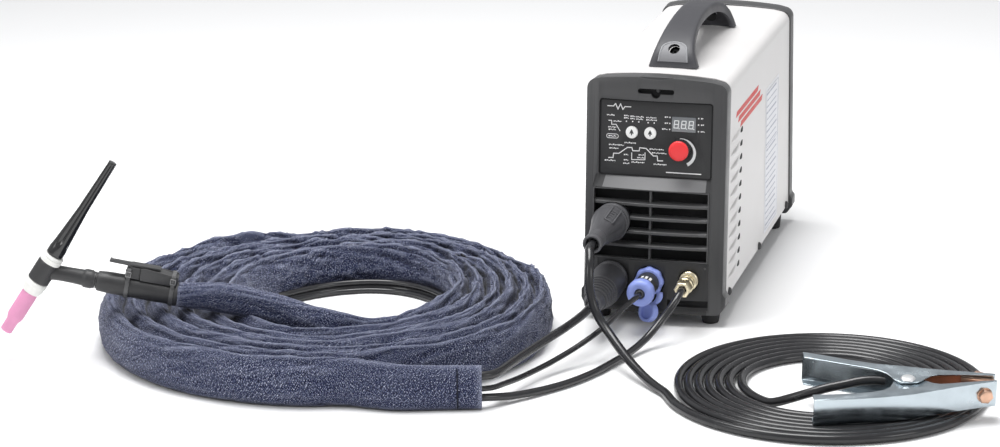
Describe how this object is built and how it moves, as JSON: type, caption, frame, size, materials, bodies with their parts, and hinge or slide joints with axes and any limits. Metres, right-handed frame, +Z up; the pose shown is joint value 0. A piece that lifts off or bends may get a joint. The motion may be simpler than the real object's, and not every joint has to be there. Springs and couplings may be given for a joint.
{
  "type": "inverter tig welding machine",
  "caption": "Upright inverter welding machine with arched carry handle and knob panel, coiled earth lead with clamp, and a torch on leads in a wound denim sleeve.",
  "frame": {"origin": "floor point under the centre of the machine's own box, without its leads, torch and clamp", "axes": "+Z up, the front panel faces -Y, +X is the machine's right side as the front is looked at, depth along Y"},
  "size_m": [1.1472, 0.8959, 0.3474],
  "materials": {
    "bezel_plastic": "fine moulded texture, dark grey",
    "panel_film": "satin printed film, near black",
    "display_lens": "clear grey window over the digits, glossy",
    "button_white": "white, glossy",
    "knob_black": "black, ribbed skirt",
    "knob_red": "red, satin",
    "cover_paint": "off-white powder coat",
    "dark_steel": "dark grey powder coat",
    "fan_plastic": "black, moulded",
    "handle_plastic": "mid grey, fine moulded texture",
    "foot_rubber": "black",
    "circuit_board": "green solder mask",
    "aluminium": "extruded, plain",
    "copper": null,
    "brass": "turned, bright",
    "plug_rubber": "black, matt",
    "blue_plastic": "blue, satin",
    "cable_rubber": "dark grey rubber jacket, satin",
    "denim": "navy denim with light flecks",
    "torch_black": "black moulded rubber and plastic",
    "insulator_white": "white insulator",
    "ceramic_pink": null,
    "zinc_steel": "zinc plated, bluish, bright"
  },
  "bodies": {
    "machine": {"base_pan": "dark_steel", "cap_gasket": "insulator_white", "carry_handle": "handle_plastic", "clamp_arm_lower": "zinc_steel", "clamp_pivot": "zinc_steel", "clamp_spring": "zinc_steel", "contact_lower": "copper", "control_board": "circuit_board", "control_lead": "cable_rubber", "control_panel": "panel_film", "control_plug": "plug_rubber", "control_socket": "blue_plastic", "cup_gasket": "insulator_white", "display_window": "display_lens", "dust_cap": "blue_plastic", "earth_coil": "cable_rubber", "earth_lead": "cable_rubber", "earth_plug": "plug_rubber", "earth_socket": "plug_rubber", "earth_tail": "cable_rubber", "fan_frame": "fan_plastic", "foot_front_left": "foot_rubber", "foot_front_right": "foot_rubber", "foot_rear_left": "foot_rubber", "foot_rear_right": "foot_rubber", "front_bezel": "bezel_plastic", "front_grille": "bezel_plastic", "gas_coupler": "brass", "gas_hose": "cable_rubber", "gas_inlet": "brass", "gas_outlet": "brass", "gas_valve": "brass", "heat_sink": "aluminium", "main_board": "circuit_board", "mains_gland": "fan_plastic", "power_switch_body": "fan_plastic", "rear_bezel": "bezel_plastic", "rear_panel": "dark_steel", "sleeve_coil": "denim", "sleeve_outlet": "denim", "sleeve_tail": "denim", "steel_cover": "cover_paint", "switch_module": "torch_black", "torch_handle": "torch_black", "torch_head": "torch_black", "torch_lead": "cable_rubber", "torch_plug": "plug_rubber", "torch_socket": "plug_rubber", "transformer": "copper"},
    "dial": {"dial_knob": "knob_black", "dial_cap": "knob_red"},
    "left_button": {"button_left": "button_white"},
    "right_button": {"button_right": "button_white"},
    "rotor": {"fan_rotor": "fan_plastic"},
    "rocker": {"power_rocker": "knob_red"},
    "cap": {"back_cap": "torch_black"},
    "cup": {"ceramic_cup": "ceramic_pink"},
    "lever": {"switch_lever": "torch_black"},
    "upper_arm": {"clamp_arm_upper": "zinc_steel", "contact_upper": "copper"}
  },
  "joints": [
    {"name": "dial_turn", "type": "hinge", "parent": "machine", "child": "dial", "pos_m": [0.0308, -0.23548, 0.21549], "axis": [0, -0.9972, 0.0747], "continuous": true},
    {"name": "left_button_press", "type": "slide", "parent": "machine", "child": "left_button", "axis": [0, 0.9972, -0.0747], "range_m": [0, 0.0012], "stiffness_N_per_m": 200},
    {"name": "right_button_press", "type": "slide", "parent": "machine", "child": "right_button", "axis": [0, 0.9972, -0.0747], "range_m": [0, 0.0012], "stiffness_N_per_m": 200},
    {"name": "fan_spin", "type": "hinge", "parent": "machine", "child": "rotor", "pos_m": [0, 0.19242, 0.20347], "axis": [0, 0.9982, 0.0598], "continuous": true},
    {"name": "power_rock", "type": "hinge", "parent": "machine", "child": "rocker", "pos_m": [-0.047, 0.22118, 0.10802], "axis": [1, 0, 0], "range_deg": [0, 20]},
    {"name": "back_cap_turn", "type": "hinge", "parent": "machine", "child": "cap", "pos_m": [-0.6228, -0.52862, 0.16029], "axis": [0.5349, 0.1473, 0.832], "continuous": true},
    {"name": "cup_turn", "type": "hinge", "parent": "machine", "child": "cup", "pos_m": [-0.68699, -0.5463, 0.06046], "axis": [0.5349, 0.1473, 0.832], "continuous": true},
    {"name": "switch_press", "type": "hinge", "parent": "machine", "child": "lever", "pos_m": [-0.52662, -0.50213, 0.10867], "axis": [0.2656, -0.9641, 0], "range_deg": [0, 1.8], "stiffness_Nm_per_rad": 0.5},
    {"name": "clamp_open", "type": "hinge", "parent": "machine", "child": "upper_arm", "pos_m": [0.3434, -0.514, 0.0325], "axis": [0.0473, -0.1491, 0.9877], "range_deg": [0, 10], "stiffness_Nm_per_rad": 1.5, "deforming": ["clamp_spring"]}
  ]
}
